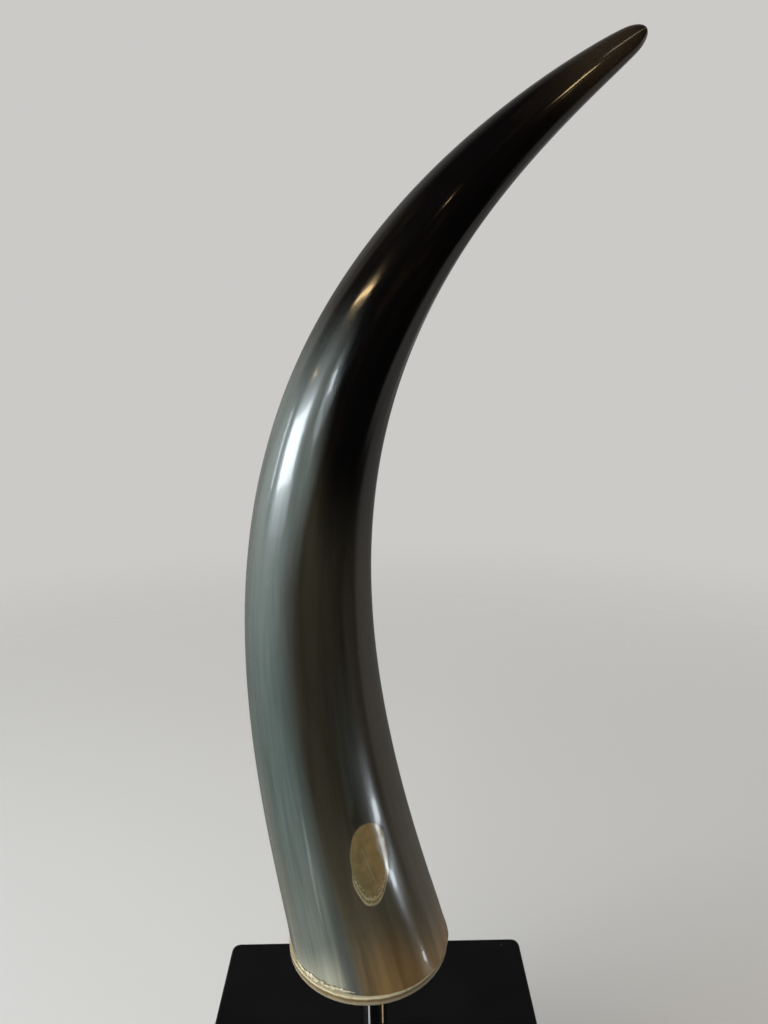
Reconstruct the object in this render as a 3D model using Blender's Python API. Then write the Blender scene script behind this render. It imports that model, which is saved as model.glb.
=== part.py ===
"""A polished horn on a chrome rod, standing on a tall black block.

Metres, +Z up. The origin is the centre of the block's underside, and the viewer stands at -Y.
"""

import math

import bmesh
import bpy
from mathutils import Vector

# Driving dimensions of the block
BLOCK_SIDE = 0.152
BLOCK_HEIGHT = 0.150
BLOCK_CORNER_RADIUS = 0.004
BLOCK_RIM_RADIUS = 0.0012

# Driving dimensions of the rod
ROD_DIAMETER = 0.0115
ROD_SHOWN = 0.0715
ROD_IN_BLOCK = 0.040
ROD_IN_HORN = 0.030
ROD_CHAMFER = 0.0008

# Driving dimensions of the disc that closes the horn
DISC_RADIUS = 0.0325
DISC_THICKNESS = 0.004
DISC_BEVEL = 0.0008

# Driving dimensions of the horn: guide points from the butt to the tip, each with
# how far right, how far back, how high above the butt, and the radius there
HORN_GUIDE = (
    (-0.0015, 0.0000, 0.0000, 0.0316),
    (-0.0070, 0.0025, 0.0260, 0.0294),
    (-0.0295, 0.0170, 0.1110, 0.0235),
    (-0.0475, 0.0105, 0.2075, 0.0272),
    (-0.0065, 0.0110, 0.2705, 0.0129),
    (0.0780, -0.0060, 0.3210, 0.0077),
    (0.0867, -0.0081, 0.3267, 0.0035),
)
SAWN_OFF = 0.09  # The share of the guide that grows below the butt and is then sawn off

# Clearance between touching pieces, and how finely round pieces are made
GAP = 0.0003
HORN_SIDES = 40
HORN_RINGS = 52
TIP_RINGS = 4
ROUND_SIDES = 48
CORNER_SEGMENTS = 5
RIM_SEGMENTS = 2
SHARP_ANGLE = math.radians(35)

# Levels and places worked out from the driving dimensions
BLOCK_TOP = BLOCK_HEIGHT
DISC_UNDERSIDE = BLOCK_TOP + ROD_SHOWN
BUTT_LEVEL = DISC_UNDERSIDE + DISC_THICKNESS + GAP
DISC_OFFSET = HORN_GUIDE[0][0]
BORE_RADIUS = ROD_DIAMETER / 2 + GAP


def clear_scene():
    for obj in list(bpy.data.objects):
        bpy.data.objects.remove(obj, do_unlink=True)


def plain_material(name, colour, roughness, metallic=0.0):
    material = bpy.data.materials.new(name)
    material.use_nodes = True
    shader = material.node_tree.nodes["Principled BSDF"]
    shader.inputs["Base Color"].default_value = (*colour, 1.0)
    shader.inputs["Roughness"].default_value = roughness
    shader.inputs["Metallic"].default_value = metallic
    return material


def object_from(shape, name, parent, level=0.0, material=None):
    """Turn a bmesh into an object whose own origin is on the rod's axis, at this level."""
    bmesh.ops.recalc_face_normals(shape, faces=shape.faces)
    mesh = bpy.data.meshes.new(name)
    shape.to_mesh(mesh)
    shape.free()
    mesh.shade_smooth()
    mesh.set_sharp_from_angle(angle=SHARP_ANGLE)
    obj = bpy.data.objects.new(name, mesh)
    bpy.context.scene.collection.objects.link(obj)
    obj.location = (0.0, 0.0, level)
    obj.parent = parent
    if material:
        mesh.materials.append(material)
    return obj


def cylinder(radius, bottom, top, centre_x=0.0):
    """A closed round bar along Z, as a bmesh."""
    shape = bmesh.new()
    bmesh.ops.create_cone(
        shape, cap_ends=True, segments=ROUND_SIDES, radius1=radius, radius2=radius, depth=top - bottom
    )
    bmesh.ops.translate(shape, verts=shape.verts, vec=(centre_x, 0.0, (top + bottom) / 2))
    return shape


def level_edges(shape, height):
    """The edges of a bmesh that lie in the level plane at this height."""
    flat = 1e-6
    return [edge for edge in shape.edges if all(abs(v.co.z - height) < flat for v in edge.verts)]


def round_edges(shape, edges, radius, segments):
    """Bevel these edges of a bmesh. One segment gives a plain chamfer."""
    bmesh.ops.bevel(shape, geom=edges, offset=radius, segments=segments, profile=0.5, affect="EDGES")


def cut_bore(obj, name, parent, bottom, top):
    """Cut the rod's round bore out of an object, between two levels of the stand."""
    cutter = object_from(cylinder(BORE_RADIUS, bottom, top), name, parent)
    cutter.hide_render = True
    cutter.display_type = "WIRE"
    bore = obj.modifiers.new("rod bore", "BOOLEAN")
    bore.operation = "DIFFERENCE"
    bore.object = cutter


def make_block(parent):
    """The square block, with rounded corners and softened rims, and a blind bore for the rod."""
    shape = bmesh.new()
    bmesh.ops.create_cube(shape, size=1.0)
    bmesh.ops.scale(shape, verts=shape.verts, vec=(BLOCK_SIDE, BLOCK_SIDE, BLOCK_HEIGHT))
    bmesh.ops.translate(shape, verts=shape.verts, vec=(0.0, 0.0, BLOCK_HEIGHT / 2))
    uprights = [e for e in shape.edges if abs(e.verts[0].co.z - e.verts[1].co.z) > BLOCK_HEIGHT / 2]
    round_edges(shape, uprights, BLOCK_CORNER_RADIUS, CORNER_SEGMENTS)
    rims = level_edges(shape, 0.0) + level_edges(shape, BLOCK_HEIGHT)
    round_edges(shape, rims, BLOCK_RIM_RADIUS, RIM_SEGMENTS)
    black_satin = plain_material("black satin wood", (0.007, 0.007, 0.008), 0.38)
    block = object_from(shape, "base_block", parent, 0.0, black_satin)
    bore_floor = BLOCK_TOP - ROD_IN_BLOCK - GAP
    cut_bore(block, "block_bore_cutter", parent, bore_floor, BLOCK_TOP + ROD_IN_BLOCK)


def make_rod(parent):
    """The straight rod, from inside the block to inside the horn."""
    length = ROD_IN_BLOCK + ROD_SHOWN + DISC_THICKNESS + GAP + ROD_IN_HORN
    shape = cylinder(ROD_DIAMETER / 2, 0.0, length)
    ends = level_edges(shape, 0.0) + level_edges(shape, length)
    round_edges(shape, ends, ROD_CHAMFER, 1)
    chrome = plain_material("polished chrome", (0.62, 0.63, 0.65), 0.08, metallic=1.0)
    object_from(shape, "support_rod", parent, BLOCK_TOP - ROD_IN_BLOCK, chrome)


def make_disc(parent):
    """The thin disc glued over the horn's open end, with its lower edge bevelled."""
    shape = cylinder(DISC_RADIUS, 0.0, DISC_THICKNESS, DISC_OFFSET)
    round_edges(shape, level_edges(shape, 0.0), DISC_BEVEL, RIM_SEGMENTS)
    pale_horn = plain_material("pale horn disc", (0.42, 0.34, 0.20), 0.35)
    disc = object_from(shape, "end_disc", parent, DISC_UNDERSIDE, pale_horn)
    reach = DISC_THICKNESS
    cut_bore(disc, "disc_bore_cutter", parent, DISC_UNDERSIDE - reach, DISC_UNDERSIDE + 2 * reach)


def horn_at(share):
    """Centre and radius at a share of the way up one Bezier curve. Below the butt it runs straight."""
    degree = len(HORN_GUIDE) - 1
    up = max(share, 0.0)
    below = min(share, 0.0) * degree
    weights = [math.comb(degree, i) * up**i * (1 - up) ** (degree - i) for i in range(degree + 1)]
    x, y, height, radius = (
        sum(w * value for w, value in zip(weights, row)) + below * (row[1] - row[0])
        for row in zip(*HORN_GUIDE)
    )
    return Vector((x, y, height)), radius


def horn_direction(share):
    step = 1e-4
    after, _ = horn_at(share + step)
    before, _ = horn_at(share - step)
    return (after - before).normalized()


def ring_of_points(centre, radius, along):
    """Points on a circle square to the horn's direction, always starting from the same side."""
    across = Vector((0.0, 1.0, 0.0)).cross(along).normalized()
    back = along.cross(across)
    angles = [2 * math.pi * i / HORN_SIDES for i in range(HORN_SIDES)]
    return [centre + radius * (math.cos(a) * across + math.sin(a) * back) for a in angles]


def horn_rings():
    """The horn's rings in order, from below the saw cut to the rounded tip."""
    for i in range(HORN_RINGS):
        share = i / (HORN_RINGS - 1) * (1 + SAWN_OFF) - SAWN_OFF
        centre, radius = horn_at(share)
        along = horn_direction(share)
        yield ring_of_points(centre, radius, along)
    for i in range(1, TIP_RINGS + 1):
        bend = math.pi / 2 * i / (TIP_RINGS + 1)
        top = centre + along * (radius * math.sin(bend))
        yield ring_of_points(top, radius * math.cos(bend), along)


def make_horn(parent):
    """The horn as one solid: grown a little too long, then sawn level and bored for the rod."""
    shape = bmesh.new()
    rings = [[shape.verts.new(point) for point in ring] for ring in horn_rings()]
    for lower, upper in zip(rings, rings[1:]):
        for i in range(HORN_SIDES):
            j = (i + 1) % HORN_SIDES
            shape.faces.new((lower[i], lower[j], upper[j], upper[i]))
    tip_centre, tip_radius = horn_at(1.0)
    tip = shape.verts.new(tip_centre + horn_direction(1.0) * tip_radius)
    for i in range(HORN_SIDES):
        shape.faces.new((rings[-1][i], rings[-1][(i + 1) % HORN_SIDES], tip))
    everything = shape.verts[:] + shape.edges[:] + shape.faces[:]
    sawn = bmesh.ops.bisect_plane(
        shape, geom=everything, plane_co=(0.0, 0.0, 0.0), plane_no=(0.0, 0.0, -1.0), clear_outer=True
    )
    rim = [item for item in sawn["geom_cut"] if isinstance(item, bmesh.types.BMEdge)]
    bmesh.ops.holes_fill(shape, edges=rim)
    polished_horn = plain_material("polished horn", (0.045, 0.042, 0.034), 0.16)
    horn = object_from(shape, "horn", parent, BUTT_LEVEL, polished_horn)
    socket_roof = BUTT_LEVEL + ROD_IN_HORN + GAP
    cut_bore(horn, "horn_socket_cutter", parent, BUTT_LEVEL - ROD_IN_HORN, socket_roof)


def make_stand():
    stand = bpy.data.objects.new("horn_on_stand", None)
    bpy.context.scene.collection.objects.link(stand)
    make_block(stand)
    make_rod(stand)
    make_disc(stand)
    make_horn(stand)


clear_scene()
make_stand()
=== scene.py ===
# %% [markdown]
# ## A polished horn on a chrome rod and a tall black block
#
# This lesson dresses a model of a cattle horn that has been polished, closed at its butt with a
# pale disc, and stood on a rod. The solid parts come in as a fixed frame, in metres, with +Z up
# and the viewer at -Y. Nothing of the frame is moved here: the lesson adds a finer horn, its
# finish, and the small things that only show close up.

# %% Load the frame
import math

import bmesh
import bpy
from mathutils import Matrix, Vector, noise


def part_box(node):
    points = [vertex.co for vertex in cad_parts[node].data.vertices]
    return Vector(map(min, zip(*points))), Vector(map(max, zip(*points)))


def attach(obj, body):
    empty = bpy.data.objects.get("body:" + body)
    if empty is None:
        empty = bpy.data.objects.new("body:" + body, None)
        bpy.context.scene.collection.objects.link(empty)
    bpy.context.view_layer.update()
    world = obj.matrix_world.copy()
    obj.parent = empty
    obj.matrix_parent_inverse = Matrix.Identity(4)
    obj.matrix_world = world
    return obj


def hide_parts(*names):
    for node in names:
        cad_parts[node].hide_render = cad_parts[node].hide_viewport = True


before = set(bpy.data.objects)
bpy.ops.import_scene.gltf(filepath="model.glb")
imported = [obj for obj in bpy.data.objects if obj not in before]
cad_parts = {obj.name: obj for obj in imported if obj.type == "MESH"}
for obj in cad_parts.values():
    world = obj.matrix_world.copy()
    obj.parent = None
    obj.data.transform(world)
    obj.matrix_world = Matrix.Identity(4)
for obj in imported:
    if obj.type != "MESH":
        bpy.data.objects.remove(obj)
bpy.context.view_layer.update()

block_low, block_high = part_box("base_block")
rod_low, rod_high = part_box("support_rod")
disc_low, disc_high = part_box("end_disc")
horn_low, horn_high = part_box("horn")
print("rod is", round(1000 * (rod_high[0] - rod_low[0]), 1), "mm thick")
print("horn rises", round(1000 * (horn_high[2] - horn_low[2]), 1), "mm above its butt")


def object_from(shape, name):
    """Turn a bmesh into a smooth-shaded object of this name, in the scene."""
    mesh = bpy.data.meshes.new(name)
    shape.to_mesh(mesh)
    shape.free()
    mesh.shade_smooth()
    obj = bpy.data.objects.new(name, mesh)
    bpy.context.scene.collection.objects.link(obj)
    return obj


# %% [markdown]
# ## The camera first
#
# The photograph was taken with a phone's wide lens from a little above the block and close to it.
# The block's square top gives the lens away: its side edges meet at a vanishing point, and its
# back edge is level. Working that out gives the place of the camera, its tilt of about 13 degrees
# down, and its slight roll. The camera is set from those sums, not by eye. They give proportions
# only: the block's side is taken as a common size, and everything else follows from it.

# %% Place the camera
CAMERA_RIGHT = 0.0066
CAMERA_FRONT = -0.2643
CAMERA_ABOVE_BLOCK = 0.3155
CAMERA_FORWARD = Vector((0.0042, 0.9734, -0.2292))
CAMERA_ACROSS = Vector((0.9998, -0.0080, -0.0156))
LENS_MM = 26.54
SENSOR_MM = 36.0


def place_camera():
    camera = bpy.data.objects.new("camera", bpy.data.cameras.new("camera"))
    bpy.context.scene.collection.objects.link(camera)
    camera.data.lens = LENS_MM
    camera.data.sensor_width = SENSOR_MM
    camera.data.clip_start = 0.01
    forward = CAMERA_FORWARD.normalized()
    across = (CAMERA_ACROSS - forward * CAMERA_ACROSS.dot(forward)).normalized()
    upward = across.cross(forward)
    turn = camera.matrix_world.to_3x3()
    turn.col[0], turn.col[1], turn.col[2] = across, upward, -forward
    camera.matrix_world = turn.to_4x4()
    camera.location = (CAMERA_RIGHT, CAMERA_FRONT, block_high[2] + CAMERA_ABOVE_BLOCK)
    bpy.context.scene.camera = camera
    return camera


camera = place_camera()
print("camera stands at", tuple(round(value, 3) for value in camera.location))

# %% [markdown]
# ## Shader sums written as sums
#
# A procedural finish is mostly arithmetic on masks: how far up the horn we are, how much of a
# streak shows here. Wiring Math nodes by hand hides that arithmetic, so one small class wraps a
# socket and lets Python's own signs add the nodes. Colours go through Mix and Vector Math
# instead, since a Math node would turn them grey.

# %% A socket that can be added, multiplied and clamped
class Value:
    """A shader socket that takes part in Python expressions."""

    def __init__(self, nodes, socket):
        self.nodes = nodes
        self.socket = socket

    def _math(self, operation, *others):
        return self.nodes.add(
            "ShaderNodeMath", {"operation": operation}, dict(enumerate((self, *others)))
        )

    def __add__(self, other):
        return self._math("ADD", other)

    def __mul__(self, other):
        return self._math("MULTIPLY", other)

    def __sub__(self, other):
        return self._math("SUBTRACT", other)

    def __truediv__(self, other):
        return self._math("DIVIDE", other)

    def __rsub__(self, other):
        return self._math("MULTIPLY", -1.0) + other

    __radd__ = __add__
    __rmul__ = __mul__

    def size(self):
        return self._math("ABSOLUTE")

    def least(self, other):
        return self._math("MINIMUM", other)

    def most(self, other):
        return self._math("MAXIMUM", other)

    def ramp(self, start, end):
        """0 at start and 1 at end, eased at both ends. End may be below start."""
        return self.nodes.add(
            "ShaderNodeMapRange",
            {"interpolation_type": "SMOOTHSTEP"},
            {"Value": self, "From Min": start, "From Max": end},
        )


class Wiring:
    """A tree of nodes, and the few calls that this lesson uses to wire it."""

    def __init__(self, tree):
        self.tree = tree

    def feed(self, entry, value):
        if isinstance(value, Value):
            self.tree.links.new(value.socket, entry)
        else:
            entry.default_value = value

    def add(self, kind, settings=(), entries=(), out=0):
        """Any node: its settings, then the values or links of its sockets."""
        node = self.tree.nodes.new(kind)
        for key, setting in dict(settings).items():
            setattr(node, key, setting)
        for key, value in dict(entries).items():
            self.feed(node.inputs[key], value)
        return Value(self, node.outputs[out]) if node.outputs else None

    def apart(self, vector):
        """The three numbers of a vector."""
        first = self.add("ShaderNodeSeparateXYZ", {}, {0: vector})
        return [Value(self, socket) for socket in first.socket.node.outputs]

    def mix(self, share, first, second):
        """A colour between two colours. Each is a tuple or a link."""
        colours = [(*c, 1.0) if isinstance(c, tuple) else c for c in (first, second)]
        return self.add(
            "ShaderNodeMix", {"data_type": "RGBA"}, {0: share, 6: colours[0], 7: colours[1]}, out=2
        )

    def times(self, first, second):
        """Two colours or two vectors, multiplied."""
        return self.add("ShaderNodeVectorMath", {"operation": "MULTIPLY"}, {0: first, 1: second})

    def clouds(self, place, scale, detail=3.0, roughness=0.55, distortion=0.0):
        entries = {"Vector": place, "Scale": scale, "Detail": detail}
        entries.update({"Roughness": roughness, "Distortion": distortion})
        return self.add("ShaderNodeTexNoise", {}, entries)

    def fibres(self, place, scale, along, detail=3.0, roughness=0.55):
        """Clouds drawn out along the third axis. A smaller number for along makes them longer."""
        return self.clouds(self.times(place, (1.0, 1.0, along)), scale, detail, roughness)


class Finish(Wiring):
    """The nodes of one material."""

    def __init__(self, name):
        self.material = bpy.data.materials.new(name)
        self.material.use_nodes = True
        super().__init__(self.material.node_tree)
        self.shader = self.tree.nodes["Principled BSDF"]

    def set(self, **sockets):
        for name, value in sockets.items():
            self.feed(self.shader.inputs[name.replace("_", " ")], value)


print("socket class ready")

# %% [markdown]
# ## The horn's own shape
#
# A horn tapers and bends at once. A straight cone bent with a modifier would pinch on the inner
# side of the bend, so the horn is swept instead: circles of changing size are set square to one
# smooth curve, and skinned. The guide points are the same ones that the solid was made from. The
# fine version has eight times the rings and over three times the sides, and a cap that meets the
# taper without a crease. It carries three notes at every point for its finish: where the point
# would lie if the horn were straightened out, which way it faces and how far up it is, and how
# far it lies from the middle of the glue film.

# %% The guide of the horn
HORN_GUIDE = (
    (-0.0015, 0.0000, 0.0000, 0.0316),
    (-0.0070, 0.0025, 0.0260, 0.0294),
    (-0.0295, 0.0170, 0.1110, 0.0235),
    (-0.0475, 0.0105, 0.2075, 0.0272),
    (-0.0065, 0.0110, 0.2705, 0.0129),
    (0.0780, -0.0060, 0.3210, 0.0077),
    (0.0867, -0.0081, 0.3267, 0.0035),
)
SAWN_OFF = 0.09  # The share of the guide that grows below the butt and is then sawn off
BUTT_LEVEL = horn_low[2]
HORN_SIDES = 144
HORN_RINGS = 420
TIP_RINGS = 10
TIP_STRETCH = 2.4  # How many times longer the cap is than a half ball
SHARP_ANGLE = math.radians(50)


def horn_at(share):
    """Centre and radius at a share of the way up one Bezier curve. Below the butt it is straight."""
    degree = len(HORN_GUIDE) - 1
    up = max(share, 0.0)
    below = min(share, 0.0) * degree
    weights = [math.comb(degree, i) * up**i * (1 - up) ** (degree - i) for i in range(degree + 1)]
    x, y, height, radius = (
        sum(w * value for w, value in zip(weights, row)) + below * (row[1] - row[0])
        for row in zip(*HORN_GUIDE)
    )
    return Vector((x, y, height + BUTT_LEVEL)), radius


def horn_axes(share):
    """The horn's direction at a share, and the two directions square to it: right and back."""
    step = 1e-4
    along = (horn_at(share + step)[0] - horn_at(share - step)[0]).normalized()
    across = Vector((0.0, 1.0, 0.0)).cross(along).normalized()
    return along, across, along.cross(across)


def tip_rings():
    """Rings of the cap: how far past the curve's end each lies, and its radius. The last is the tip."""
    step = 1e-3
    centre, radius = horn_at(1.0)
    before, radius_before = horn_at(1.0 - step)
    taper = (radius_before - radius) / (centre - before).length
    lean = math.atan(TIP_STRETCH * taper)
    cap = radius / math.cos(lean)
    for i in range(1, TIP_RINGS + 1):
        bend = lean + (math.pi / 2 - lean) * i / TIP_RINGS
        yield TIP_STRETCH * cap * (math.sin(bend) - math.sin(lean)), cap * math.cos(bend)


print("the horn is", round(2000 * horn_at(0.0)[1], 1), "mm across at its butt")

# %% [markdown]
# Hand work leaves a horn slightly uneven: it was scraped and sanded along its length, so there
# are long, very shallow flats and ribs. They hardly change the outline, but they break each
# reflection into two or three wavering streaks, which tells the eye that this isn't a turned
# plastic part. Low on the front there is an upright oval film of old amber glue, with a crusty
# lower rim and a few wrinkles where it dried at the right.

# %% How uneven the surface is
# Depth of the flats, then how many there are around the horn and along it
FLATS = ((0.00034, 1.3, 3.2), (0.00020, 4.0, 2.2), (0.00007, 11.0, 2.6))
FLATS_TWIST = 0.35
FLATS_TURNS = 5.0
THIN_HORN = 0.008  # Below this radius the unevenness fades
OVAL_CENTRE = Vector((0.0002, -0.0212, 0.2740))
OVAL_LEAN = -0.072
OVAL_HALF_WIDTH = 0.0068
OVAL_HALF_HEIGHT = 0.0148
OVAL_POWER = 2.3
OVAL_WAVE = 0.06
OVAL_WAVES = 170.0
OVAL_FILM = 0.00012
FILM_END = 1.03
FILM_SLOPE = 0.08
BEHIND = 9.0  # The distance given to points that the film can't reach
RIM_CRUST = 0.00030
CRUST_MIDDLE = 0.90
CRUST_HALF = 0.12
CRUST_GRAIN = 1900.0
WRINKLE_CENTRE = Vector((0.0056, -0.0175, 0.2800))
WRINKLE_REACH = 0.0056
WRINKLE_DEPTH = 0.00022
WRINKLE_SCALE = Vector((620.0, 300.0, 330.0))


def oval_distance(point):
    """0 at the middle of the glue film and 1 at its edge, for points on the front."""
    if point.y > 0.0:
        return BEHIND
    wavy = 1.0 + OVAL_WAVE * noise.noise(point * OVAL_WAVES)
    up = point.z - OVAL_CENTRE.z
    right = abs(point.x - OVAL_CENTRE.x - up * OVAL_LEAN) / OVAL_HALF_WIDTH
    up = abs(up) / OVAL_HALF_HEIGHT
    return (right**OVAL_POWER + up**OVAL_POWER) ** (1 / OVAL_POWER) * wavy


def unevenness(angle, share, point, distance):
    """How far a point stands out from the perfect sweep."""
    turned = angle + FLATS_TWIST * math.sin(FLATS_TURNS * share)
    right, back = math.cos(turned), math.sin(turned)
    out = sum(
        depth * noise.noise(Vector((right * across, back * across, share * along)))
        for depth, across, along in FLATS
    )
    film = max(0.0, min(1.0, (FILM_END - distance) / FILM_SLOPE))
    low = max(0.0, min(1.0, (OVAL_CENTRE.z - point.z) / OVAL_HALF_HEIGHT))
    rim = max(0.0, 1.0 - abs(distance - CRUST_MIDDLE) / CRUST_HALF) * low
    crust = RIM_CRUST * rim * (0.5 + noise.noise(point * CRUST_GRAIN))
    nearness = max(0.0, 1.0 - (point - WRINKLE_CENTRE).length / WRINKLE_REACH)
    folds = noise.noise(point * WRINKLE_SCALE)
    return out + OVAL_FILM * film + crust + WRINKLE_DEPTH * nearness**1.5 * folds


# %% Sweep the horn, saw its butt level and write its notes
def horn_stations():
    """Share, centre, radius and length so far of every ring. The last one is the tip, a point."""
    stations = []
    length = 0.0
    for i in range(HORN_RINGS):
        share = i / (HORN_RINGS - 1) * (1 + SAWN_OFF) - SAWN_OFF
        centre, radius = horn_at(share)
        if stations:
            length += (centre - stations[-1][1]).length
        stations.append((share, centre, radius, length))
    along, _, _ = horn_axes(1.0)
    stations += [(1.0, centre + along * rise, width, length + rise) for rise, width in tip_rings()]
    return stations


def horn_ring(shape, notes, station):
    """One ring of uneven points square to the horn, with the three notes of each."""
    straight, facing, oval = notes
    share, centre, radius, length = station
    _, across, back = horn_axes(share)
    ring = []
    for i in range(HORN_SIDES):
        angle = 2 * math.pi * i / HORN_SIDES
        outward = math.cos(angle) * across + math.sin(angle) * back
        point = centre + radius * outward
        distance = oval_distance(point)
        out = unevenness(angle, share, point, distance) * min(1.0, radius / THIN_HORN)
        vert = shape.verts.new(point + outward * out)
        vert[straight] = (radius * math.cos(angle), radius * math.sin(angle), length)
        vert[facing] = (math.cos(angle), -math.sin(angle), share)
        vert[oval] = distance
        ring.append(vert)
    return ring


def sweep_horn():
    shape = bmesh.new()
    straight = shape.verts.layers.float_vector.new("straightened")
    facing = shape.verts.layers.float_vector.new("facing")
    oval = shape.verts.layers.float.new("oval")
    *stations, (_, tip_centre, _, tip_length) = horn_stations()
    rings = [horn_ring(shape, (straight, facing, oval), station) for station in stations]
    for lower, upper in zip(rings, rings[1:]):
        for i in range(HORN_SIDES):
            j = (i + 1) % HORN_SIDES
            shape.faces.new((lower[i], lower[j], upper[j], upper[i]))
    tip = shape.verts.new(tip_centre)
    tip[straight] = (0.0, 0.0, tip_length)
    tip[facing] = (0.0, 1.0, 1.0)
    tip[oval] = BEHIND
    for i in range(HORN_SIDES):
        shape.faces.new((rings[-1][i], rings[-1][(i + 1) % HORN_SIDES], tip))
    everything = shape.verts[:] + shape.edges[:] + shape.faces[:]
    sawn = bmesh.ops.bisect_plane(
        shape, geom=everything, plane_co=(0, 0, BUTT_LEVEL), plane_no=(0, 0, -1), clear_outer=True
    )
    rim = [item for item in sawn["geom_cut"] if isinstance(item, bmesh.types.BMEdge)]
    bmesh.ops.holes_fill(shape, edges=rim)
    bmesh.ops.recalc_face_normals(shape, faces=shape.faces)
    horn = object_from(shape, "polished_horn")
    horn.data.set_sharp_from_angle(angle=SHARP_ANGLE)
    return horn


horn = sweep_horn()
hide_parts("horn")
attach(horn, "root")
print("horn skin has", len(horn.data.polygons), "faces")

# %% [markdown]
# ## The horn's finish
#
# Horn is layered fibre, slightly clear, and coloured in long streaks. Near the tip it is solid
# and nearly black. Lower down the wall is thin over a pale hollow, so it turns grey-green on one
# side and olive-brown in the middle, with cream and amber at the rim. The colour is built up the
# same way: a tone for each side, soft streaks along the fibres, then the black that runs down
# from the tip in tongues. Two touches are painted light: the grey side is painted lighter higher
# up, where the light from the left falls, and a thin pale line near the tip is a painted
# highlight. The fibres lie under the polish, so they are wide and blurred, unlike wood grain.
# The polish itself is one clear coat over fine scratches.

# %% Mix the body of the horn
GREY_GREEN = (0.078, 0.099, 0.092)
GREY_PAINTED_LIT = (0.106, 0.124, 0.118)
GREY_BROWN = (0.044, 0.037, 0.028)
DARK_OLIVE = (0.028, 0.024, 0.016)
PALE_GREY = (0.150, 0.162, 0.140)
PALE_OLIVE = (0.090, 0.076, 0.050)
CREAM = (0.52, 0.49, 0.38)
SLATE = (0.040, 0.045, 0.044)
AMBER = (0.215, 0.128, 0.050)
EDGE_OLIVE = (0.125, 0.118, 0.088)
BLACK_HORN = (0.0020, 0.0016, 0.0016)
BLACK_BROWN = (0.0075, 0.0050, 0.0036)
TIP_BROWN = (0.020, 0.0145, 0.0100)
PAINTED_TIP_HIGHLIGHT = (0.22, 0.19, 0.15)
STREAK_DARK = (0.64, 0.62, 0.58)
STREAK_LIGHT = (1.36, 1.36, 1.34)


def horn_body(finish, place, right, share):
    """The horn's colour, without the glue film."""
    broad = finish.fibres(place, 62.0, 0.06, detail=1.0)
    streak = finish.fibres(place, 170.0, 0.035, detail=2.0)
    fine = finish.fibres(place, 620.0, 0.02, detail=3.0)
    wander = (broad - 0.5) * 0.7 + (streak - 0.5) * 0.3

    shifted = right - share.ramp(0.40, 0.52) * 0.25
    grey_side = (shifted + wander * 0.8).ramp(-0.10, -0.48)
    green_band = (right + wander * 0.3 - 0.45).size().ramp(0.22, 0.04) * share.ramp(0.36, 0.22)
    colour = finish.mix((right + wander).ramp(0.55, 0.85), DARK_OLIVE, GREY_BROWN)
    colour = finish.mix(green_band * 0.30, colour, GREY_GREEN)
    # Higher up, the grey side is painted lighter where the light from the left falls: painted light, not
    # the horn's own tone.
    grey = finish.mix(share.ramp(0.30, 0.44), GREY_GREEN, GREY_PAINTED_LIT)
    colour = finish.mix(grey_side, colour, grey)

    near_butt = (share + wander * 0.10).ramp(0.27, 0.02)
    pale = finish.mix((right + wander * 1.3).ramp(0.05, -0.30), PALE_OLIVE, PALE_GREY)
    colour = finish.mix(near_butt * 0.9, colour, pale)
    amber_top = share + wander * 0.06 + right.ramp(0.3, 0.9) * 0.035
    amber = amber_top.ramp(0.11, -0.01) * (right + wander).ramp(-0.15, 0.35)
    colour = finish.mix(amber * 0.9, colour, AMBER)
    rim_cream = (share + wander * 0.06).ramp(0.075, 0.0) * (right + wander).ramp(-0.05, -0.5)
    cream = (streak + (fine - 0.5) * 0.4).ramp(0.56, 0.80) * share.ramp(0.22, 0.02)
    cream = cream * right.ramp(0.0, -0.45)
    colour = finish.mix((rim_cream * 0.55).most(cream * 0.55), colour, CREAM)

    slate = (right + wander * 0.3 + 0.17).size().ramp(0.15, 0.02) * share.ramp(0.20, 0.10)
    colour = finish.mix(slate * 0.6, colour, SLATE)

    edge = right.ramp(-0.66, -0.92) * share.ramp(0.32, 0.10)
    colour = finish.mix(edge * 0.5, colour, EDGE_OLIVE)

    light = (streak - 0.5) * 1.1 + (fine - 0.5) * 0.5 + (broad - 0.5) * 0.5 + 0.5
    colour = finish.times(colour, finish.mix(light.ramp(0.0, 1.0), STREAK_DARK, STREAK_LIGHT))

    tongue = (share + wander * 0.20 + right.ramp(-0.5, 0.45) * 0.10).ramp(0.52, 0.64)
    dark = finish.mix((streak + (fine - 0.5) * 0.3).ramp(0.50, 0.80), BLACK_HORN, BLACK_BROWN)
    dark = finish.mix(share.ramp(0.84, 0.93) * 0.9, dark, TIP_BROWN)
    # A thin pale line near the tip is a painted highlight.
    line = (right + wander * 0.3 + 0.12).size().ramp(0.07, 0.01) * share.ramp(0.915, 0.95)
    dark = finish.mix(line * 0.6, dark, PAINTED_TIP_HIGHLIGHT)
    return finish.mix(tongue, colour, dark), streak, fine


print("the body runs from grey-green and olive to black")

# %% [markdown]
# The film of glue is amber and a little cloudy. A paler thread runs down inside it, tiny bubbles
# gather at its lower end, and a cream double line marks where it crept and dried. The outline and
# the lines are drawn from one measure kept in the mesh, how far a point is from the film's
# middle. The thread, the smudge and the lower end are drawn from the place on the horn.

# %% Lay the glue film over the body
FILM_AMBER = (0.270, 0.180, 0.070)
FILM_DEEP = (0.150, 0.118, 0.055)
FILM_THREAD = (0.26, 0.22, 0.14)
FILM_CREAM = (0.40, 0.34, 0.21)
SMUDGE = (0.018, 0.013, 0.007)


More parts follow.
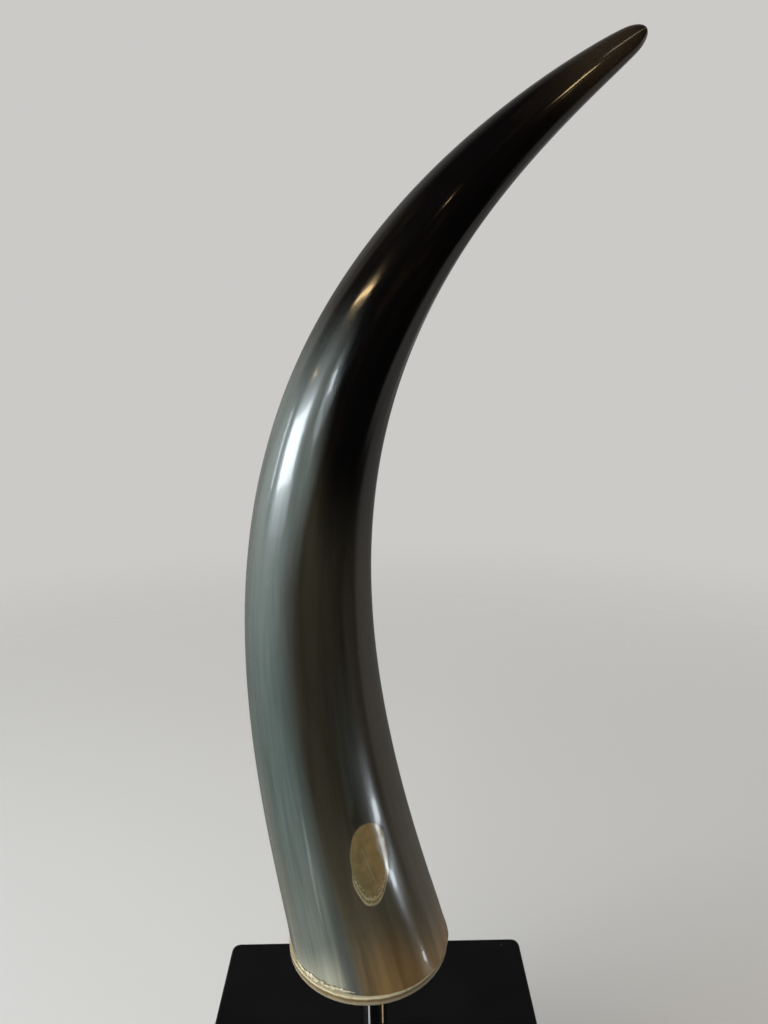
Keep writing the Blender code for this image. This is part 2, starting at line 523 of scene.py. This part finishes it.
def glue_film(finish, colour, place, oval):
    """The body's colour with the film over it, then masks: the film, its bubbles, its wrinkles."""
    spot = finish.add("ShaderNodeNewGeometry")
    right, _, up = finish.apart(spot)
    up = up - OVAL_CENTRE.z
    right = (right - OVAL_CENTRE.x - up * OVAL_LEAN) / OVAL_HALF_WIDTH
    up = up / OVAL_HALF_HEIGHT
    cloudy = finish.clouds(place, 260.0, detail=3.0)
    grain = finish.clouds(place, 1500.0, detail=2.0)
    film = oval.ramp(1.04, 0.97)
    amber = finish.mix((cloudy * 0.6 + right * 0.18 + up * 0.10).ramp(0.12, 0.48), FILM_DEEP, FILM_AMBER)
    slant = right + up * 0.60 + 0.10 + (cloudy - 0.5) * 0.10
    threads = slant.size().ramp(0.06, 0.0).most((slant + 0.16).size().ramp(0.05, 0.0) * 0.5)
    amber = finish.mix(threads * (up + 0.10).size().ramp(0.62, 0.30) * 0.7, amber, FILM_THREAD)
    low = up.ramp(-0.10, -0.60)
    bubbles = grain.ramp(0.54, 0.66) * oval.ramp(0.62, 0.80) * low * film
    outer_line = (oval + (cloudy - 0.5) * 0.05 - 0.99).size().ramp(0.055, 0.01)
    inner_line = (oval + (cloudy - 0.5) * 0.08 - 0.86).size().ramp(0.045, 0.005)
    lines = outer_line * (0.12 + low * 0.6) + inner_line * low * (0.25 + grain * 0.7)
    amber = finish.mix((lines + bubbles * 0.8).least(0.9), amber, FILM_CREAM)
    smudge = ((right + 0.50).size() * 1.5 + (up - 1.15).size() + (cloudy - 0.5)).ramp(0.70, 0.10)
    colour = finish.mix(smudge * oval.ramp(0.98, 1.06) * 0.6, colour, SMUDGE)
    near = ((right - 0.80).size() * 1.3 + (up - 0.42).size()).ramp(0.80, 0.20)
    return finish.mix(film, colour, amber), film, bubbles, near


print("the film is", round(2000 * OVAL_HALF_WIDTH, 1), "by", round(2000 * OVAL_HALF_HEIGHT, 1), "mm")

# %% Put the horn's finish together
PIT_PALE = (0.20, 0.18, 0.15)
BODY_ROUGHNESS = 0.23
BLACK_PART_SMOOTHER = 0.09
SMOOTHEST = 0.06
COAT = 0.3
COAT_ROUGHNESS = 0.05
FIBRE_RELIEF = 0.0006
CREASE_RELIEF = 0.00003
CREASE_SCALE = 1300.0


def horn_finish():
    finish = Finish("polished horn")
    place = finish.add("ShaderNodeAttribute", {"attribute_name": "straightened"}, out=1)
    facing = finish.add("ShaderNodeAttribute", {"attribute_name": "facing"}, out=1)
    oval = finish.add("ShaderNodeAttribute", {"attribute_name": "oval"}, out=2)
    right, _, share = finish.apart(facing)
    body, streak, fine = horn_body(finish, place, right, share)
    colour, film, bubbles, wrinkled = glue_film(finish, body, place, oval)

    specks = finish.add("ShaderNodeTexVoronoi", {}, {"Vector": place, "Scale": 240.0}).ramp(0.08, 0.03)
    pits = finish.clouds(place, 75.0, detail=1.0).ramp(0.68, 0.75) * specks
    colour = finish.mix(pits * 0.5, colour, PIT_PALE)

    scratches = finish.fibres(place, 2600.0, 0.012, detail=1.0).ramp(0.60, 0.72)
    haze = finish.clouds(place, 55.0, detail=3.0)
    polish = BODY_ROUGHNESS - share.ramp(0.56, 0.72) * BLACK_PART_SMOOTHER
    rough = polish + scratches * 0.03 + (haze - 0.5) * 0.10 + bubbles * 0.2 - film * 0.06
    rough = (rough - wrinkled * 0.10).most(SMOOTHEST)
    drawn_out = finish.times(place, (1.0, 1.0, 0.6))
    creases = finish.clouds(drawn_out, CREASE_SCALE, detail=1.0, distortion=1.2)
    folds = wrinkled * ((creases - 0.5).size().ramp(0.0, 0.15) + creases)
    height = fine * 0.22 + streak * 0.4 + scratches * 0.03 + bubbles * 1.4 - pits * 1.2
    entries = {"Strength": 1.0, "Distance": CREASE_RELIEF, "Height": folds}
    crinkle = finish.add("ShaderNodeBump", {}, entries)
    entries = {"Strength": 0.14, "Distance": FIBRE_RELIEF, "Height": height, "Normal": crinkle}
    bump = finish.add("ShaderNodeBump", {}, entries)
    finish.set(Base_Color=colour, Roughness=rough, Normal=bump)
    finish.set(Specular_IOR_Level=0.5, Coat_Weight=COAT - wrinkled * 0.2, Coat_Roughness=COAT_ROUGHNESS)
    return finish.material


horn.data.materials.append(horn_finish())
print("horn finish ready")

# %% [markdown]
# ## The glue that was squeezed out
#
# When the disc was pressed on, a little glue came out of the joint and set as an uneven, shiny
# bead along part of the front. A tube of constant thickness would look like piping, so the bead
# is a row of rings whose size and place wander, thin at both ends.

# %% Model the bead
BEAD_START = math.radians(-152)
BEAD_END = math.radians(-98)
BEAD_POINTS = 90
BEAD_SIDES = 10
BEAD_THICKNESS = 0.0010
BEAD_THINNEST = 0.12
BEAD_LIFT = 0.0004
BEAD_WANDER = 0.0011
BEAD_OUT = 0.0002
BEAD_ACROSS = 0.7
BEAD_TALL = 1.15
BEAD_SEED = 0.37
GLUE_DEEP = (0.42, 0.36, 0.22)
GLUE_PALE = (0.66, 0.60, 0.44)


def bead_noise(waves, share):
    """A smooth wander along the bead, different for each number of waves."""
    return noise.noise(Vector((share * waves, waves * BEAD_SEED, 0.0)))


def make_bead():
    shape = bmesh.new()
    centre, radius = horn_at(0.0)
    previous = None
    for i in range(BEAD_POINTS):
        share = i / (BEAD_POINTS - 1)
        angle = BEAD_START + share * (BEAD_END - BEAD_START)
        lumps = 0.65 + 0.7 * bead_noise(23, share) + 0.35 * bead_noise(60, share)
        fade = math.sin(math.pi * min(max(share, 0.01), 0.99)) ** 0.5
        thick = BEAD_THICKNESS * max(BEAD_THINNEST, lumps) * fade
        outward = Vector((math.cos(angle), math.sin(angle), 0.0))
        rise = BEAD_LIFT + BEAD_WANDER * (0.5 + bead_noise(9, share))
        middle = Vector((centre.x, 0.0, BUTT_LEVEL + rise)) + outward * (radius + BEAD_OUT)
        ring = []
        for k in range(BEAD_SIDES):
            turn = 2 * math.pi * k / BEAD_SIDES
            across = outward * math.cos(turn) * BEAD_ACROSS + Vector((0, 0, BEAD_TALL)) * math.sin(turn)
            ring.append(shape.verts.new(middle + across * thick))
        if previous:
            for k in range(BEAD_SIDES):
                n = (k + 1) % BEAD_SIDES
                shape.faces.new((previous[k], previous[n], ring[n], ring[k]))
        else:
            shape.faces.new(ring)
        previous = ring
    shape.faces.new(previous)
    bmesh.ops.recalc_face_normals(shape, faces=shape.faces)
    return object_from(shape, "glue_bead")


def glue_finish():
    finish = Finish("old clear glue")
    place = finish.add("ShaderNodeTexCoord", out=3)
    cloud = finish.clouds(place, 600.0, detail=3.0)
    colour = finish.mix(cloud.ramp(0.35, 0.65), GLUE_DEEP, GLUE_PALE)
    bump = finish.add("ShaderNodeBump", {}, {"Strength": 0.4, "Distance": 0.0003, "Height": cloud})
    finish.set(Base_Color=colour, Roughness=0.18, Normal=bump)
    return finish.material


bead = make_bead()
bead.data.materials.append(glue_finish())
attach(bead, "root")
print("glue bead has", len(bead.data.polygons), "faces")

# %% [markdown]
# ## The pale disc
#
# The disc is cut from pale horn or bone-coloured sheet. Its sawn edge shows layers: tan in the
# middle and a duller bevel, with a bright line at the top that is a painted highlight. Height
# alone decides which band shows, so its finish reads the height above the disc's underside and
# adds a fine, uneven stain.

# %% Finish the disc
DISC_BEVEL = (0.30, 0.25, 0.16)
DISC_TAN = (0.17, 0.115, 0.05)
DISC_TOP_HIGHLIGHT = (0.62, 0.53, 0.34)
DISC_STAIN = (0.13, 0.09, 0.045)


def disc_finish():
    finish = Finish("pale horn disc")
    place = finish.add("ShaderNodeTexCoord", out=3)
    _, _, up = finish.apart(place)
    height = (up - disc_low[2]) / (disc_high[2] - disc_low[2])
    stain = finish.fibres(place, 160.0, 3.0, detail=5.0)
    fine = finish.clouds(place, 1400.0, detail=2.0)
    level = height + (stain - 0.5) * 0.25
    blotches = (stain * 0.6 + fine * 0.4).ramp(0.52, 0.66)
    colour = finish.mix(level.ramp(0.35, 0.55), DISC_BEVEL, DISC_TAN)
    # The bright band at the top of the edge is a painted highlight.
    colour = finish.mix(level.ramp(0.68, 0.86), colour, DISC_TOP_HIGHLIGHT)
    colour = finish.mix(blotches * 0.45, colour, DISC_STAIN)
    bump = finish.add("ShaderNodeBump", {}, {"Strength": 0.25, "Distance": 0.0003, "Height": fine})
    finish.set(Base_Color=colour, Roughness=0.30 + stain * 0.15, Normal=bump)
    return finish.material


def dress(node, material):
    """Give a solid of the frame a finish. Its mesh and place stay as they are."""
    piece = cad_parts[node]
    piece.data.materials.clear()
    piece.data.materials.append(material)
    return piece


dress("end_disc", disc_finish())
print("disc dressed")

# %% [markdown]
# ## The chrome rod
#
# Chrome has hardly any colour of its own: its dark and bright bands are the room. What it does
# have is a trace of its making, very fine lines round it from turning, and a little dust that
# dulls it in places.

# %% Finish the rod
CHROME = (0.60, 0.61, 0.63)
CHROME_DUST = (0.42, 0.41, 0.40)


def chrome_finish():
    finish = Finish("polished chrome")
    place = finish.add("ShaderNodeTexCoord", out=3)
    turning = finish.clouds(finish.times(place, (8.0, 8.0, 900.0)), 2.0, detail=2.0)
    dust = finish.clouds(place, 300.0, detail=4.0).ramp(0.55, 0.75)
    colour = finish.mix(dust * 0.25, CHROME, CHROME_DUST)
    rough = 0.05 + turning * 0.04 + dust * 0.10
    bump = finish.add("ShaderNodeBump", {}, {"Strength": 0.03, "Distance": 0.0001, "Height": turning})
    finish.set(Base_Color=colour, Roughness=rough, Metallic=1.0, Normal=bump)
    return finish.material


dress("support_rod", chrome_finish())
print("rod dressed")

# %% [markdown]
# ## The black block
#
# The block is wood under satin black paint. Paint like this has a soft orange-peel surface, its
# rims and upright corners are worn a little shinier and are painted a paler grey as a painted
# highlight, and a few pale specks of dust cling to it. Where the rims are is known from the
# block's own size, so the wear and the painted highlight are drawn from the distance to them.

# %% Finish the block
BLOCK_HALF = block_high[0]
BLOCK_TOP = block_high[2]
RIM_WIDTH = 0.0014
CORNER_REACH = 0.0024
PAINT = (0.0026, 0.0026, 0.0030)
PAINT_SMEAR = (0.0044, 0.0042, 0.0046)
PAINT_EDGE_HIGHLIGHT = (0.020, 0.020, 0.021)
PAINT_DUST = (0.16, 0.15, 0.14)


def rims_and_corners(finish, place):
    """The top's rims and the upright corners, where the paint is worn shinier and painted paler as a
    highlight.
    """
    right, back, up = finish.apart(place)
    sideways = right.size().most(back.size())
    cornerwise = right.size() + back.size()
    rim = sideways.ramp(BLOCK_HALF - RIM_WIDTH, BLOCK_HALF) * up.ramp(BLOCK_TOP - RIM_WIDTH, BLOCK_TOP)
    corner = cornerwise.ramp(2 * BLOCK_HALF - 2 * CORNER_REACH, 2 * BLOCK_HALF - CORNER_REACH)
    return rim.most(corner)


def block_finish():
    finish = Finish("black satin paint")
    place = finish.add("ShaderNodeTexCoord", out=3)
    peel = finish.clouds(place, 900.0, detail=3.0)
    smears = finish.clouds(place, 22.0, detail=4.0, distortion=0.6)
    specks = finish.add("ShaderNodeTexVoronoi", {}, {"Vector": place, "Scale": 85.0}).ramp(0.055, 0.03)
    colour = finish.mix(smears.ramp(0.35, 0.7), PAINT, PAINT_SMEAR)
    rubbed_and_highlit = rims_and_corners(finish, place) * smears.ramp(0.3, 0.6)
    # Painted highlight: the rims and corners turn a paler grey, patchy with the smears.
    colour = finish.mix(rubbed_and_highlit * 0.6, colour, PAINT_EDGE_HIGHLIGHT)
    colour = finish.mix(specks * 0.35, colour, PAINT_DUST)
    rough = 0.46 + (smears - 0.5) * 0.12 - rubbed_and_highlit * 0.10
    bump = finish.add("ShaderNodeBump", {}, {"Strength": 0.10, "Distance": 0.0003, "Height": peel})
    finish.set(Base_Color=colour, Roughness=rough, Normal=bump, Specular_IOR_Level=0.12)
    return finish.material


dress("base_block", block_finish())
print("block dressed")

# %% [markdown]
# ## Floor and light
#
# A shiny dark thing shows its room more than itself. Wide cool lights on the left give the long
# streak on the horn, and a pale surround behind gives the thin light strip down the right edge.
# The sparks come from lamps a few centimetres away: a horn is nearly straight along its length,
# so a far lamp would be drawn out into one line, and only a near one gives a short spark. The
# front of the room stays dim, or the black horn would turn grey.

# %% Lay the floor
FLOOR_SIZE = 12.0
FLOOR_FADE_START = 0.35
FLOOR_FADE_END = 1.5
FLOOR_GAP = 0.0002
FLOOR_TONE = (0.63, 0.62, 0.605, 1.0)


def make_floor():
    shape = bmesh.new()
    bmesh.ops.create_grid(shape, x_segments=4, y_segments=4, size=FLOOR_SIZE / 2)
    floor = object_from(shape, "floor")
    floor.location = (0.0, 0.0, block_low[2] - FLOOR_GAP)
    finish = Finish("pale floor")
    place = finish.add("ShaderNodeTexCoord", out=3)
    from_middle = finish.add("ShaderNodeVectorMath", {"operation": "LENGTH"}, {0: place}, out=1)
    far = from_middle.ramp(FLOOR_FADE_START, FLOOR_FADE_END)
    finish.set(Base_Color=FLOOR_TONE, Roughness=0.8, Alpha=1.0 - far)
    floor.data.materials.append(finish.material)
    floor.visible_glossy = False
    return floor


floor = make_floor()
print("floor lies at", round(floor.location.z, 4))

# %% Hang the lights
HORN_MIDDLE = (0.0, 0.0, 0.43)
ON_FRONT = (0.0017, -0.0084, 0.4781)
NEAR_TIP = (0.0680, -0.0107, 0.5400)
ON_FILM = (0.0055, -0.0165, 0.2800)
LEFT_OF_FILM = (-0.0221, -0.0217, 0.2722)
NEAR_RIM = (0.0205, -0.0218, 0.2315)
ON_SHOULDER = (-0.0079, -0.0102, 0.4510)
ON_LEFT_SHOULDER = (-0.0147, -0.0073, 0.4530)
BEFORE_TIP = (0.0291, -0.0097, 0.5064)
ON_ROD = (0.0, 0.0, 0.197)
COOL = (0.84, 0.94, 1.0)
NEUTRAL = (1.0, 0.98, 0.95)
WARM = (1.0, 0.72, 0.36)

# Name, what it is aimed at, turn, lift, distance, width, height, watts, colour
SOFT_LIGHTS = (
    ("overhead", HORN_MIDDLE, 160, 62, 1.9, 1.6, 1.6, 26.0, NEUTRAL),
    ("soft fill", HORN_MIDDLE, -35, 32, 1.8, 1.3, 1.3, 20.0, NEUTRAL),
)
SHOWN_LIGHTS = (
    ("window", HORN_MIDDLE, -66, 8, 1.5, 0.78, 0.32, 17.0, COOL),
    ("window glow", HORN_MIDDLE, -67, 5, 1.7, 1.15, 0.60, 5.0, COOL),
    ("window pane", HORN_MIDDLE, -98, 8, 1.5, 0.10, 0.34, 1.2, COOL),
    ("window gap", ON_SHOULDER, -21, 6, 0.12, 0.011, 0.012, 0.0100, COOL),
    ("window gap glow", HORN_MIDDLE, -25, 5, 1.6, 0.14, 0.12, 0.4, COOL),
    ("left slit", LEFT_OF_FILM, -46, -31, 0.30, 0.014, 0.05, 0.008, COOL),
    ("right slit", ON_FILM, 71, -14, 0.14, 0.015, 0.028, 0.032, COOL),
    ("rim slit", NEAR_RIM, 79, -17, 0.08, 0.005, 0.005, 0.0016, COOL),
    ("gold lamp low", BEFORE_TIP, -5, 17, 0.05, 0.004, 0.003, 0.0006, WARM),
    ("gold lamp side", ON_LEFT_SHOULDER, -70, 20, 0.05, 0.006, 0.003, 0.0008, WARM),
    ("gold lamp left", ON_FRONT, -47, 28, 0.10, 0.036, 0.005, 0.017, WARM),
    ("gold lamp right", NEAR_TIP, 17, 5, 0.05, 0.008, 0.020, 0.008, WARM),
    ("rod line left", ON_ROD, -36, -47, 0.035, 0.003, 0.012, 0.00007, NEUTRAL),
    ("rod line right", ON_ROD, 72, -47, 0.035, 0.003, 0.012, 0.00006, WARM),
)


def hang(name, target, turn, lift, distance, width, height, watts, colour):
    """A lamp seen from its target at this turn to the right and this lift, in degrees."""
    light = bpy.data.lights.new(name, "AREA")
    light.shape = "RECTANGLE"
    light.size = width
    light.size_y = height
    light.energy = watts
    light.color = colour
    lamp = bpy.data.objects.new(name, light)
    around = math.radians(turn)
    up = math.radians(lift)
    way = Vector((math.sin(around) * math.cos(up), -math.cos(around) * math.cos(up), math.sin(up)))
    lamp.location = Vector(target) + way * distance
    lamp.rotation_euler = (-way).to_track_quat("-Z", "Y").to_euler()
    lamp.visible_camera = False
    bpy.context.scene.collection.objects.link(lamp)
    return lamp


for row in SOFT_LIGHTS:
    hang(*row).visible_glossy = False
for row in SHOWN_LIGHTS:
    hang(*row)
print("lights hung")

# %% [markdown]
# The surround is dim in front and pale behind, with a clear edge where the pale begins. That
# edge lies square to the object's sides, so each dark side of the horn and of the rod shows one
# even pale strip. Seen directly, the surround is one pale tone that meets the floor.

# %% Set the surround
DIM_FRONT = (0.008, 0.0076, 0.0072)
PALE_SIDE = (0.52, 0.49, 0.45)
PALE_BEHIND = (0.24, 0.23, 0.22)
PALE_SEEN = (0.60, 0.59, 0.575)


def set_surround():
    world = bpy.context.scene.world or bpy.data.worlds.new("surround")
    bpy.context.scene.world = world
    world.use_nodes = True
    world.node_tree.nodes.clear()
    wiring = Wiring(world.node_tree)
    _, back, up = wiring.apart(wiring.add("ShaderNodeTexCoord"))
    tone = wiring.mix(back.ramp(0.25, 0.85), PALE_SIDE, PALE_BEHIND)
    tone = wiring.mix(up.ramp(-0.10, -0.32) * 0.48, tone, DIM_FRONT)
    edge_softness = 0.20 + up.most(0.0) * 1.1
    tone = wiring.mix(back.ramp(0.0, edge_softness), DIM_FRONT, tone)
    tone = wiring.mix(wiring.add("ShaderNodeLightPath"), tone, PALE_SEEN)
    background = wiring.add("ShaderNodeBackground", {}, {"Color": tone})
    wiring.add("ShaderNodeOutputWorld", {}, {"Surface": background})


set_surround()
bpy.context.scene.view_settings.view_transform = "Standard"
print("surround set")
